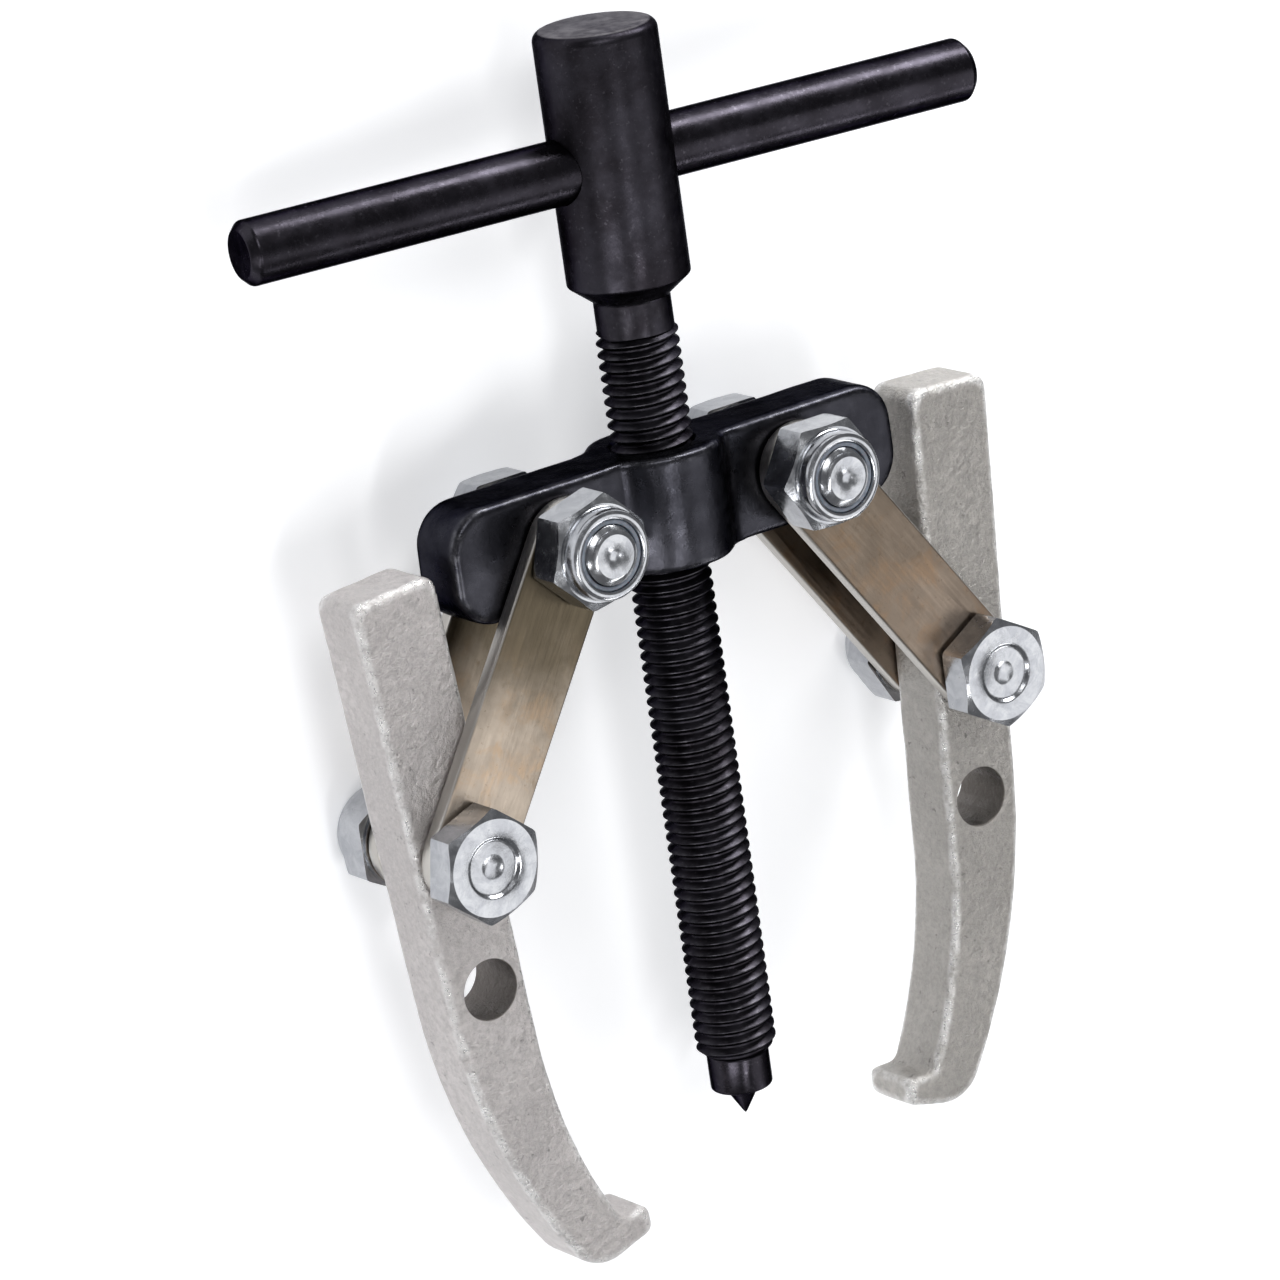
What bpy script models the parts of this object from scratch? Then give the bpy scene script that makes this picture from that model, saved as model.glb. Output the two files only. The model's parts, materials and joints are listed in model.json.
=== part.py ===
"""Two-jaw gear puller, lying on its back.

X runs along the crosshead, Y along the forcing screw towards the handle, and Z is up.
The origin is under the middle of the tool, on the plane of its lowest points.
"""
import math

import bmesh
import bpy
from mathutils import Matrix, Vector

MM = 0.001

# Where the screw axis lies: the handle crosses it at HANDLE_Y, and it is AXIS_Z above the bench.
HANDLE_Y = 79.2 * MM
AXIS_Z = 20.4 * MM

# Clearances between pieces.
FACE_GAP = 0.3 * MM
PIN_GAP = 0.1 * MM

# Forcing screw, M14 x 2. Heights along it are counted from the handle's axis.
HEAD_R = 10.25 * MM
HEAD_TOP = 22.4 * MM
HEAD_EDGE = 1.4 * MM
HEAD_BOTTOM = -19.9 * MM
TAPER_BOTTOM = -23.0 * MM
NECK_R = 6.4 * MM
THREAD_TOP = -28.2 * MM
THREAD_R = 6.88 * MM
THREAD_END = -155.1 * MM
END_CHAMFER = 1.0 * MM
SCREW_SIDES = 48

# Handle bar through the head, turned a little from the crosshead's direction.
HANDLE_R = 5.4 * MM
HANDLE_HALF = 67.7 * MM
HANDLE_CHAMFER = 1.2 * MM
HANDLE_TURN = math.radians(6.7)

# Centre tip that swivels in the end of the screw.
TIP_R = 5.3 * MM
TIP_BOTTOM = -161.9 * MM
TIP_CHAMFER = 0.5 * MM
POINT_R = 2.9 * MM
POINT_END = -167.0 * MM
STEM_R = 2.5 * MM
STEM_TOP = -147.1 * MM

# Crosshead.
BAR_THICK = 12.0 * MM
BAR_HALF = 45.0 * MM
BAR_TOP = -47.8 * MM
BAR_BOTTOM = -67.6 * MM
BAR_CORNER = 7.2 * MM
BAR_EDGE = 1.4 * MM
BOSS_R = 11.5 * MM
BOSS_FILLET = 5.0 * MM
BOSS_EDGE = 1.0 * MM
BORE_R = 6.97 * MM

# Pivots and the straps between them.
PIVOT_X = 23.7 * MM
PIVOT_Y = (BAR_TOP + BAR_BOTTOM) / 2
STRAP_LENGTH = 53.4 * MM
STRAP_ANGLE = {"left": math.radians(32.3), "right": math.radians(35.0)}
STRAP_WIDTH = 15.8 * MM
STRAP_THICK = 3.0 * MM
STRAP_EDGE = 0.35 * MM

# Jaws: outline sizes from the jaw's own pivot, before it leans outwards at the top.
# The two jaws are drilled a little differently: JAW_DROP is how far each outline sits below its holes.
JAW_INNER = 7.2 * MM
JAW_OUTER = 8.3 * MM
JAW_OUTER_TOP = 9.1 * MM
JAW_TOP = 48.0 * MM
JAW_TOP_CORNER = 2.5 * MM
OUTER_BEND_START = -22.4 * MM
OUTER_BEND_R = 105 * MM
OUTER_BEND_SWEEP = math.asin(0.4923)
HEEL_R = 7.5 * MM
INNER_BEND_START = -33.8 * MM
INNER_BEND_R = 91 * MM
TOE_FACE = -71.3 * MM
TOE_TIP = -20.8 * MM
TOE_THICK = 5.2 * MM
TOE_CORNER = 2.0 * MM
TOE_FILLET = 2.0 * MM
JAW_EDGE = 1.3 * MM
SPARE_HOLE_Y = -23.9 * MM
JAW_LEAN = {"left": math.radians(4.6), "right": math.radians(2.6)}
JAW_DROP = {"left": 1.3 * MM, "right": -1.3 * MM}

# M10 bolts and lock nuts.
BOLT_R = 5.0 * MM
BOLT_LENGTH = 30.0 * MM
BOLT_TURN = {"crosshead_left": 0, "crosshead_right": 0, "jaw_left": 20, "jaw_right": 30}
NUT_TURN = {"crosshead_left": 15, "crosshead_right": 0, "jaw_left": 30, "jaw_right": 0}
BOLT_CHAMFER = 0.9 * MM
HEX_HALF = 8.5 * MM
HEX_CIRCLE = 8.1 * MM
HEX_SLOPE = math.tan(math.radians(30))
HEAD_HEIGHT = 6.4 * MM
HEAD_DISH_R = 3.75 * MM
HEAD_DISH_DEPTH = 0.5 * MM
NUT_HEX_HEIGHT = 7.0 * MM
NUT_HEIGHT = 10.0 * MM
COLLAR_R = 7.6 * MM
COLLAR_LIP_R = 6.7 * MM
INSERT_BOTTOM = 7.4 * MM
INSERT_TOP = 9.6 * MM
INSERT_R = 6.5 * MM
PIN_SIDES = 24
HOLE_R = BOLT_R + PIN_GAP

# Half of the clamped stack: bar, strap and their clearances.
STACK_HALF = BAR_THICK / 2 + FACE_GAP + STRAP_THICK + FACE_GAP

SIDES = {"left": -1, "right": 1}
ARC_STEP = math.radians(7.5)


def clear_scene():
    for obj in list(bpy.data.objects):
        bpy.data.objects.remove(obj, do_unlink=True)


def make_material(name, color, roughness, metallic):
    material = bpy.data.materials.new(name)
    material.use_nodes = True
    shader = material.node_tree.nodes["Principled BSDF"]
    shader.inputs["Base Color"].default_value = (*color, 1.0)
    shader.inputs["Roughness"].default_value = roughness
    shader.inputs["Metallic"].default_value = metallic
    return material


def place(offset_x, offset_y):
    """A point given from where the handle crosses the screw axis, in world space."""
    return Vector((offset_x, HANDLE_Y + offset_y, AXIS_Z))


def finish_object(name, bm, material, location, rotation=None):
    bmesh.ops.recalc_face_normals(bm, faces=bm.faces)
    mesh = bpy.data.meshes.new(name)
    bm.to_mesh(mesh)
    bm.free()
    mesh.shade_smooth()
    mesh.set_sharp_from_angle(angle=math.radians(30))
    obj = bpy.data.objects.new(name, mesh)
    bpy.context.scene.collection.objects.link(obj)
    obj.location = location
    if rotation is not None:
        obj.rotation_euler = rotation.to_euler()
    if material is not None:
        mesh.materials.append(material)
    return obj


def ring(radius, height, sides):
    """Points of a level circle; radius may be a function of the angle, and height of the radius."""
    points = []
    for index in range(sides):
        angle = 2 * math.pi * index / sides
        reach = radius(angle) if callable(radius) else radius
        level = height(reach) if callable(height) else height
        points.append(Vector((reach * math.cos(angle), reach * math.sin(angle), level)))
    return points


def skin_rings(rings, through=False):
    """A closed body from rings of equal count: capped at both ends, or joined end to start."""
    bm = bmesh.new()
    loops = [[bm.verts.new(point) for point in points] for points in rings]
    pairs = list(zip(loops, loops[1:]))
    if through:
        pairs.append((loops[-1], loops[0]))
    for lower, upper in pairs:
        count = len(lower)
        for index in range(count):
            after = (index + 1) % count
            bm.faces.new((lower[index], lower[after], upper[after], upper[index]))
    if not through:
        bm.faces.new(loops[0])
        bm.faces.new(loops[-1])
    return bm


def turned(profile, sides, pointed=False):
    """A body turned about Z from (radius, height) pairs; a pointed one closes on the axis."""
    rings = [ring(radius, height, sides) for radius, height in profile if radius > 0]
    bm = skin_rings(rings)
    if pointed:
        bm.faces.ensure_lookup_table()
        cap = min(bm.faces, key=lambda face: face.calc_center_median().z)
        tip = bmesh.ops.poke(bm, faces=[cap])["verts"][0]
        tip.co = Vector((0, 0, min(height for _, height in profile)))
    return bm


def prism(outline, low, high):
    """An outline in X and Y, extruded along Z."""
    bm = bmesh.new()
    face = bm.faces.new([bm.verts.new((x, y, low)) for x, y in outline])
    grown = bmesh.ops.extrude_face_region(bm, geom=[face])
    raised = [item for item in grown["geom"] if isinstance(item, bmesh.types.BMVert)]
    bmesh.ops.translate(bm, verts=raised, vec=(0, 0, high - low))
    return bm


def arc(centre, radius, start, end):
    """Points on an arc, both ends included, in steps of about ARC_STEP."""
    steps = max(2, round(abs(end - start) / ARC_STEP))
    points = []
    for index in range(steps + 1):
        angle = start + (end - start) * index / steps
        points.append((centre[0] + radius * math.cos(angle), centre[1] + radius * math.sin(angle)))
    return points


def round_edges(obj, width, segments=2):
    bevel = obj.modifiers.new("edges", "BEVEL")
    bevel.width = width
    bevel.segments = segments
    bevel.limit_method = "ANGLE"
    bevel.angle_limit = math.radians(40)
    bevel.harden_normals = False


def combine(obj, tool, operation):
    step = obj.modifiers.new(tool.name, "BOOLEAN")
    step.operation = operation
    step.solver = "EXACT"
    step.object = tool
    tool.hide_render = True
    tool.display_type = "WIRE"


def cut_hole(obj, name, centre, radius, half_length, sides, rotation=None):
    cutter = finish_object(name, turned([(radius, -half_length), (radius, half_length)], sides),
                           None, centre, rotation)
    combine(obj, cutter, "DIFFERENCE")


def along_y():
    """Turns local +Z to the screw's direction, +Y."""
    return Matrix.Rotation(math.radians(-90), 3, "X")


def along_handle():
    """Turns local +Z to the handle bar's direction, near +X."""
    return Matrix.Rotation(-HANDLE_TURN, 3, "Y") @ Matrix.Rotation(math.radians(90), 3, "Y")


def make_screw(material):
    profile = [
        (HEAD_R - HEAD_EDGE, HEAD_TOP),
        (HEAD_R - 0.3 * HEAD_EDGE, HEAD_TOP - 0.3 * HEAD_EDGE),
        (HEAD_R, HEAD_TOP - HEAD_EDGE),
        (HEAD_R, HEAD_BOTTOM),
        (NECK_R, TAPER_BOTTOM),
        (NECK_R, THREAD_TOP),
        (THREAD_R, THREAD_TOP - (THREAD_R - NECK_R)),
        (THREAD_R, THREAD_END + END_CHAMFER),
        (THREAD_R - END_CHAMFER, THREAD_END),
        (STEM_R + PIN_GAP, THREAD_END),
        (STEM_R + PIN_GAP, STEM_TOP + FACE_GAP),
    ]
    screw = finish_object("forcing_screw", turned(profile, SCREW_SIDES), material,
                          place(0, 0), along_y())
    cut_hole(screw, "cutter_handle_hole", place(0, 0), HANDLE_R + PIN_GAP, 2 * HEAD_R,
             SCREW_SIDES, along_handle())
    return screw


def make_handle(material):
    profile = [
        (HANDLE_R - HANDLE_CHAMFER, -HANDLE_HALF),
        (HANDLE_R, -HANDLE_HALF + HANDLE_CHAMFER),
        (HANDLE_R, HANDLE_HALF - HANDLE_CHAMFER),
        (HANDLE_R - HANDLE_CHAMFER, HANDLE_HALF),
    ]
    return finish_object("tee_handle", turned(profile, SCREW_SIDES), material,
                         place(0, 0), along_handle())


def make_tip(material):
    profile = [
        (STEM_R, STEM_TOP),
        (STEM_R, THREAD_END - FACE_GAP),
        (TIP_R - TIP_CHAMFER, THREAD_END - FACE_GAP),
        (TIP_R, THREAD_END - FACE_GAP - TIP_CHAMFER),
        (TIP_R, TIP_BOTTOM + TIP_CHAMFER),
        (TIP_R - TIP_CHAMFER, TIP_BOTTOM),
        (POINT_R, TIP_BOTTOM),
        (0, POINT_END),
    ]
    return finish_object("swivel_tip", turned(profile, SCREW_SIDES, pointed=True), material,
                         place(0, 0), along_y())


def bar_outline():
    half_height = (BAR_TOP - BAR_BOTTOM) / 2
    corner_x = BAR_HALF - BAR_CORNER
    corner_y = half_height - BAR_CORNER
    quarter = math.pi / 2
    points = []
    for index, (side_x, side_y) in enumerate(((1, 1), (-1, 1), (-1, -1), (1, -1))):
        centre = (side_x * corner_x, side_y * corner_y)
        points += arc(centre, BAR_CORNER, index * quarter, (index + 1) * quarter)
    return points


def boss_outline():
    """Section of the boss square to the screw: a round with fillets down to the bar's faces."""
    level = BAR_THICK / 2 - 0.1 * MM
    fillet_y = level + BOSS_FILLET
    fillet_x = math.sqrt((BOSS_R + BOSS_FILLET) ** 2 - fillet_y ** 2)
    meet = math.atan2(fillet_y, fillet_x)
    end_x = fillet_x + 1 * MM
    upper = [(end_x, level)]
    upper += arc((fillet_x, fillet_y), BOSS_FILLET, 1.5 * math.pi, math.pi + meet)
    upper += arc((0, 0), BOSS_R, meet, math.pi - meet)[1:]
    upper += arc((-fillet_x, fillet_y), BOSS_FILLET, -meet, -0.5 * math.pi)[1:]
    upper += [(-end_x, level)]
    lower = [(-x, -y) for x, y in upper]
    return upper + lower


def make_crosshead(material):
    half_height = (BAR_TOP - BAR_BOTTOM) / 2
    centre = place(0, (BAR_TOP + BAR_BOTTOM) / 2)
    crosshead = finish_object("crosshead", prism(bar_outline(), -BAR_THICK / 2, BAR_THICK / 2),
                              material, centre)
    round_edges(crosshead, BAR_EDGE)
    boss = finish_object("boss_blank", prism(boss_outline(), -half_height, half_height), None,
                         centre, along_y())
    round_edges(boss, BOSS_EDGE)
    combine(crosshead, boss, "UNION")
    cut_hole(crosshead, "cutter_screw_bore", centre, BORE_R, 2 * half_height, SCREW_SIDES, along_y())
    for side in SIDES:
        cut_hole(crosshead, "cutter_pivot_" + side, strap_pivot(side), HOLE_R, BAR_THICK, PIN_SIDES)
    return crosshead


def strap_outline():
    """A flat strap from the first hole at the origin to the second at -Y, round at both ends."""
    radius = STRAP_WIDTH / 2
    return arc((0, 0), radius, 0, math.pi) + arc((0, -STRAP_LENGTH), radius, math.pi, 2 * math.pi)


def strap_turn(side):
    return Matrix.Rotation(SIDES[side] * STRAP_ANGLE[side], 3, "Z")


def strap_pivot(side):
    return place(SIDES[side] * PIVOT_X, PIVOT_Y)


def jaw_pivot(side):
    return strap_pivot(side) + strap_turn(side) @ Vector((0, -STRAP_LENGTH, 0))


def make_strap(side, layer, level, material):
    name = f"strap_{side}_{layer}"
    hinge = strap_pivot(side)
    half = STRAP_THICK / 2
    location = hinge + Vector((0, 0, level))
    strap = finish_object(name, prism(strap_outline(), -half, half), material, location,
                          strap_turn(side))
    round_edges(strap, STRAP_EDGE, segments=1)
    for end, centre in (("upper", hinge), ("lower", jaw_pivot(side))):
        spot = Vector((centre.x, centre.y, location.z))
        cut_hole(strap, "cutter_" + name + "_" + end, spot, HOLE_R, STRAP_THICK, PIN_SIDES)
    return strap


def jaw_outline():
    """Outline of the right-hand jaw from its pivot: +X is outwards and the hook is at -Y."""
    turn = math.pi / 2
    outer_centre = (JAW_OUTER - OUTER_BEND_R, OUTER_BEND_START)
    heel_centre = (
        outer_centre[0] + (OUTER_BEND_R - HEEL_R) * math.cos(OUTER_BEND_SWEEP),
        outer_centre[1] - (OUTER_BEND_R - HEEL_R) * math.sin(OUTER_BEND_SWEEP),
    )
    toe_bottom = TOE_FACE - TOE_THICK
    sole = math.atan2(toe_bottom - (heel_centre[1] - HEEL_R), heel_centre[0] - TOE_TIP)
    inner_centre = (-JAW_INNER - INNER_BEND_R, INNER_BEND_START)
    fillet_y = TOE_FACE + TOE_FILLET
    fillet_drop = math.asin((INNER_BEND_START - fillet_y) / (INNER_BEND_R - TOE_FILLET))
    fillet_x = inner_centre[0] + (INNER_BEND_R - TOE_FILLET) * math.cos(fillet_drop)

    points = []
    points += arc((JAW_OUTER_TOP - JAW_TOP_CORNER, JAW_TOP - JAW_TOP_CORNER), JAW_TOP_CORNER,
                  turn, 0)
    points += arc(outer_centre, OUTER_BEND_R, 0, -OUTER_BEND_SWEEP)
    points += arc(heel_centre, HEEL_R, -OUTER_BEND_SWEEP, -turn - sole)[1:]
    points += arc((TOE_TIP + TOE_CORNER, toe_bottom + TOE_CORNER), TOE_CORNER,
                  -turn - sole, -2 * turn)
    points += [(TOE_TIP, TOE_FACE)]
    points += arc((fillet_x, fillet_y), TOE_FILLET, -turn, -fillet_drop)
    points += arc(inner_centre, INNER_BEND_R, -fillet_drop, 0)[1:]
    points += arc((-JAW_INNER + JAW_TOP_CORNER, JAW_TOP - JAW_TOP_CORNER), JAW_TOP_CORNER,
                  2 * turn, turn)
    return points


def make_jaw(side, material):
    name = "jaw_" + side
    sign = SIDES[side]
    pivot = jaw_pivot(side)
    lean = Matrix.Rotation(-sign * JAW_LEAN[side], 3, "Z")
    outline = [(sign * x, y - JAW_DROP[side]) for x, y in jaw_outline()]
    jaw = finish_object(name, prism(outline, -BAR_THICK / 2, BAR_THICK / 2), material, pivot, lean)
    round_edges(jaw, JAW_EDGE)
    spare = pivot + lean @ Vector((0, SPARE_HOLE_Y, 0))
    for use, centre in (("pivot", pivot), ("spare", spare)):
        cut_hole(jaw, "cutter_" + name + "_" + use, centre, HOLE_R, BAR_THICK, PIN_SIDES)
    return jaw


def hex_reach(angle):
    """Distance from the centre to the side of a hexagon with a corner at angle 0."""
    from_flat = (angle % math.radians(60)) - math.radians(30)
    return HEX_HALF / math.cos(from_flat)


def hex_rings(low, high):
    """Rings up a hexagon whose top corners are turned off by a shallow cone."""

    def cone(reach):
        return high - (reach - HEX_CIRCLE) * HEX_SLOPE

    return [ring(hex_reach, low, PIN_SIDES), ring(hex_reach, cone, PIN_SIDES),
            ring(HEX_CIRCLE, high, PIN_SIDES)]


def facing(flip, turn=0.0):
    """Local +Z stays up, or turns to face down; then the hexagon is turned about it."""
    return Matrix.Rotation(math.pi if flip else 0.0, 3, "X") @ Matrix.Rotation(turn, 3, "Z")


def make_bolt(name, centre, flip, turn, material):
    """A hexagon bolt whose head stands above the stack and whose end comes out below it."""
    end = STACK_HALF - BOLT_LENGTH
    rings = [
        ring(BOLT_R - BOLT_CHAMFER, end, PIN_SIDES),
        ring(BOLT_R, end + BOLT_CHAMFER, PIN_SIDES),
        ring(BOLT_R, STACK_HALF, PIN_SIDES),
    ]
    rings += hex_rings(STACK_HALF, STACK_HALF + HEAD_HEIGHT)
    dish = STACK_HALF + HEAD_HEIGHT - HEAD_DISH_DEPTH
    rings += [
        ring(HEAD_DISH_R, STACK_HALF + HEAD_HEIGHT, PIN_SIDES),
        ring(HEAD_DISH_R - HEAD_DISH_DEPTH, dish, PIN_SIDES),
    ]
    return finish_object(name, skin_rings(rings), material, centre, facing(flip, turn))


def make_nut(name, centre, flip, turn, material):
    """A lock nut: a hexagon, and a thin collar rolled in over the nylon ring."""
    bore = BOLT_R + PIN_GAP
    pocket = INSERT_R + PIN_GAP
    floor = STACK_HALF + INSERT_BOTTOM - FACE_GAP
    top = STACK_HALF + NUT_HEIGHT
    rings = hex_rings(STACK_HALF, STACK_HALF + NUT_HEX_HEIGHT)
    rings += [
        ring(COLLAR_R, STACK_HALF + NUT_HEX_HEIGHT, PIN_SIDES),
        ring(COLLAR_R, top - (COLLAR_R - COLLAR_LIP_R), PIN_SIDES),
        ring(COLLAR_LIP_R, top, PIN_SIDES),
        ring(pocket, top, PIN_SIDES),
        ring(pocket, floor, PIN_SIDES),
        ring(bore, floor, PIN_SIDES),
        ring(bore, STACK_HALF, PIN_SIDES),
    ]
    bm = skin_rings(rings, through=True)
    return finish_object(name, bm, material, centre, facing(flip, turn))


def make_insert(name, centre, flip, material):
    bore = BOLT_R + PIN_GAP
    low = STACK_HALF + INSERT_BOTTOM
    high = STACK_HALF + INSERT_TOP
    rings = [ring(radius, level, PIN_SIDES)
             for radius, level in ((bore, low), (INSERT_R, low), (INSERT_R, high), (bore, high))]
    return finish_object(name, skin_rings(rings, through=True), material, centre, facing(flip))


def make_fastener(place_name, side, centre, head_up, zinc, nylon):
    """One bolt with its nut and ring; the nut is always on the side away from the head."""
    bolt_turn = math.radians(BOLT_TURN[place_name + "_" + side])
    nut_turn = math.radians(NUT_TURN[place_name + "_" + side])
    make_bolt(f"{place_name}_bolt_{side}", centre, not head_up, bolt_turn, zinc)
    make_nut(f"{place_name}_nut_{side}", centre, head_up, nut_turn, zinc)
    make_insert(f"{place_name}_nut_insert_{side}", centre, head_up, nylon)


def main():
    clear_scene()
    black = make_material("black_oxide", (0.035, 0.034, 0.040), 0.38, 0.85)
    forged_black = make_material("black_forging", (0.022, 0.022, 0.026), 0.42, 0.6)
    nickel = make_material("nickel_forging", (0.47, 0.45, 0.43), 0.42, 1.0)
    strap_plate = make_material("strap_plate", (0.42, 0.38, 0.32), 0.36, 1.0)
    zinc = make_material("bright_zinc", (0.68, 0.69, 0.71), 0.25, 1.0)
    nylon = make_material("nylon", (0.35, 0.38, 0.42), 0.5, 0.0)

    make_screw(black)
    make_handle(black)
    make_tip(black)
    make_crosshead(forged_black)
    strap_level = BAR_THICK / 2 + FACE_GAP + STRAP_THICK / 2
    for side in SIDES:
        make_strap(side, "front", strap_level, strap_plate)
        make_strap(side, "rear", -strap_level, strap_plate)
        make_jaw(side, nickel)
        make_fastener("crosshead", side, strap_pivot(side), False, zinc, nylon)
        make_fastener("jaw", side, jaw_pivot(side), True, zinc, nylon)
    bpy.context.view_layer.update()


main()
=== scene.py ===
"""Looks of the two-jaw gear puller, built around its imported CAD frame.

X runs along the crosshead, Y along the forcing screw towards the handle, and Z is up.
"""

import json
import math

import bmesh
import bpy
import numpy as np
from mathutils import Matrix, Vector, noise


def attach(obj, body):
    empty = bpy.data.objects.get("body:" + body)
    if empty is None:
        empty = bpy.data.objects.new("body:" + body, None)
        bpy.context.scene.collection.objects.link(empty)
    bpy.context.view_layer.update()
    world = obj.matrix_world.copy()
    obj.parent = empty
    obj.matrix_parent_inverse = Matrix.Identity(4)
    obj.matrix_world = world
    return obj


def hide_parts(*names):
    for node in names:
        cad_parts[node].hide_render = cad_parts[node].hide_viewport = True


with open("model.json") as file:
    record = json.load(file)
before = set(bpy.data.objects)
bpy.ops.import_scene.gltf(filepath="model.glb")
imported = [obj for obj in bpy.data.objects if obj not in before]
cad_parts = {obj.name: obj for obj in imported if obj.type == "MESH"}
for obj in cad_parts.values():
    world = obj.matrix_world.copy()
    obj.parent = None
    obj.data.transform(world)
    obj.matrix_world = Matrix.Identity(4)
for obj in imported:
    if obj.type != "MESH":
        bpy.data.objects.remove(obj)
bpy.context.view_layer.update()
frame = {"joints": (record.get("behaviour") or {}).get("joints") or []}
JOINTS = {joint["name"]: joint for joint in frame["joints"]}
MM = 0.001
RIGHT_ANGLE = math.pi / 2

# Places, all read from the frame: the handle's crossing with the screw, and the four pivots.
HANDLE = Vector(JOINTS["handle_turn"]["pos_m"])
SIDES = {"left": -1, "right": 1}
STRAP_PIVOT = {side: Vector(JOINTS[side + "_strap_swing"]["pos_m"]) for side in SIDES}
JAW_PIVOT = {side: Vector(JOINTS[side + "_jaw_tilt"]["pos_m"]) for side in SIDES}

# Forcing screw: heights along it are counted from the handle's axis.
HEAD_R = 10.25 * MM
HEAD_TOP = 22.4 * MM
HEAD_BOTTOM = -19.9 * MM
HEAD_TOP_ROUND = 1.7 * MM
HEAD_BOTTOM_ROUND = 0.6 * MM
TAPER_BOTTOM = -23.0 * MM
NECK_R = 6.4 * MM
NECK_ROUND = 0.8 * MM
THREAD_TOP = -28.2 * MM
THREAD_R = 6.88 * MM
THREAD_END = -155.1 * MM
THREAD_CHAMFER = 1.1 * MM
SCREW_PITCH = 2.0 * MM
HANDLE_R = 5.4 * MM
HANDLE_HALF = 67.7 * MM
HANDLE_EDGE = 1.3 * MM
HANDLE_HOLE_GAP = 0.12 * MM
HANDLE_TURN = math.radians(6.7)
TIP_R = 5.3 * MM
TIP_TOP = THREAD_END - 0.3 * MM
TIP_BOTTOM = -161.9 * MM
POINT_R = 2.9 * MM
POINT_END = -167.0 * MM
STEM_R = 2.5 * MM
STEM_TOP = -147.1 * MM

# Crosshead.
BAR_THICK = 12.0 * MM
BAR_HALF = 45.0 * MM
BAR_TOP = -47.8 * MM
BAR_BOTTOM = -67.6 * MM
BAR_HEIGHT = BAR_TOP - BAR_BOTTOM
BAR_CORNER = 7.2 * MM
BAR_EDGE = 1.5 * MM
BOSS_R = 11.5 * MM
BOSS_FILLET = 5.0 * MM
BOSS_EDGE = 1.0 * MM
BORE_R = 6.97 * MM

# Straps.
STRAP_WIDTH = 15.8 * MM
STRAP_THICK = 3.0 * MM
STRAP_EDGE = 0.5 * MM
STRAP_LEVEL = BAR_THICK / 2 + 1.8 * MM

# Jaws.
JAW_INNER = 7.2 * MM
JAW_OUTER = 8.3 * MM
JAW_OUTER_TOP = 9.1 * MM
JAW_TOP = 48.0 * MM
JAW_TOP_CORNER = 2.5 * MM
JAW_EDGE = 1.3 * MM
OUTER_BEND_START = -22.4 * MM
OUTER_BEND_R = 105 * MM
OUTER_BEND_SWEEP = math.asin(0.4923)
HEEL_R = 7.5 * MM
INNER_BEND_START = -33.8 * MM
INNER_BEND_R = 91 * MM
TOE_FACE = -71.3 * MM
TOE_TIP = -20.8 * MM
TOE_THICK = 5.2 * MM
TOE_CORNER = 2.0 * MM
TOE_FILLET = 2.0 * MM
SPARE_HOLE_Y = -23.9 * MM
JAW_LEAN = {"left": math.radians(4.6), "right": math.radians(2.6)}
JAW_DROP = {"left": 1.3 * MM, "right": -1.3 * MM}

# M10 bolts and lock nuts: heights are counted from the middle of the clamped stack.
STACK_HALF = 9.6 * MM
BOLT_R = 5.0 * MM
BOLT_PITCH = 1.5 * MM
BOLT_END = STACK_HALF - 30.0 * MM
BOLT_END_CHAMFER = 1.0 * MM
HOLE_R = 5.1 * MM
HEX_HALF = 8.5 * MM
HEX_CORNER_OFF = 0.12 * MM
HEX_CIRCLE = 8.1 * MM
HEX_SLOPE = math.tan(math.radians(30))
HEX_SIDES = 96
WASHER_FACE = 0.4 * MM
HEAD_HEIGHT = 6.4 * MM
NUT_HEX_HEIGHT = 7.0 * MM
BOLT_TURN = {"crosshead_left": 0, "crosshead_right": 0, "jaw_left": 20, "jaw_right": 30}
NUT_TURN = {"crosshead_left": 15, "crosshead_right": 0, "jaw_left": 30, "jaw_right": 0}

# Turned sections in mm: (radius, depth under the head's top), then (radius, height over the seat).
HEAD_DISH = ((5.3, 0.0), (5.0, 0.12), (4.6, 0.55), (4.2, 0.7), (2.3, 0.6), (1.9, 0.72),
             (0.8, 1.05))
NUT_COLLAR = ((7.75, NUT_HEX_HEIGHT / MM), (7.62, 7.15), (7.6, 7.4), (7.6, 8.9), (7.52, 9.35),
              (7.3, 9.72), (6.95, 9.93), (6.6, 10.0), (6.25, 9.95), (6.0, 9.8), (5.95, 9.62),
              (5.95, 9.3))
NUT_BORE = ((6.6, 9.3), (6.6, 7.1), (5.35, 7.1), (5.12, 6.9), (5.12, 0.0))
RING_SECTION = ((5.1, 7.4), (6.5, 7.4), (6.5, 9.1), (5.85, 9.2), (5.85, 9.45), (5.7, 9.58),
                (5.4, 9.6), (5.15, 9.5), (5.1, 9.3))

# Mesh steps: the size that forgings are remeshed at, what counts as one point or as no edge
# after a boolean, the least angle that is bevelled, and how far edge_wear looks and softens.
FORGING_VOXEL = 0.45 * MM
MERGE_WITHIN = 0.004 * MM
SHORTEST_EDGE = 0.002 * MM
BEVEL_FROM = math.radians(40)
WEAR_LOOKS = 4
WEAR_SOFTENS = 2

# Colours, linear. Each side's straps and jaw are as plated and as oily as the photo shows them.
DARK_EDGE_TINT = (0.22, 0.22, 0.24, 1.0)
STRAP_TINT = {"left": (0.40, 0.34, 0.28), "right": (0.225, 0.180, 0.142)}
STRAP_OIL = {"left": 1.0, "right": 0.45}
JAW_TINT = {"left": (0.58, 0.55, 0.54), "right": (0.455, 0.435, 0.41)}

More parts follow.
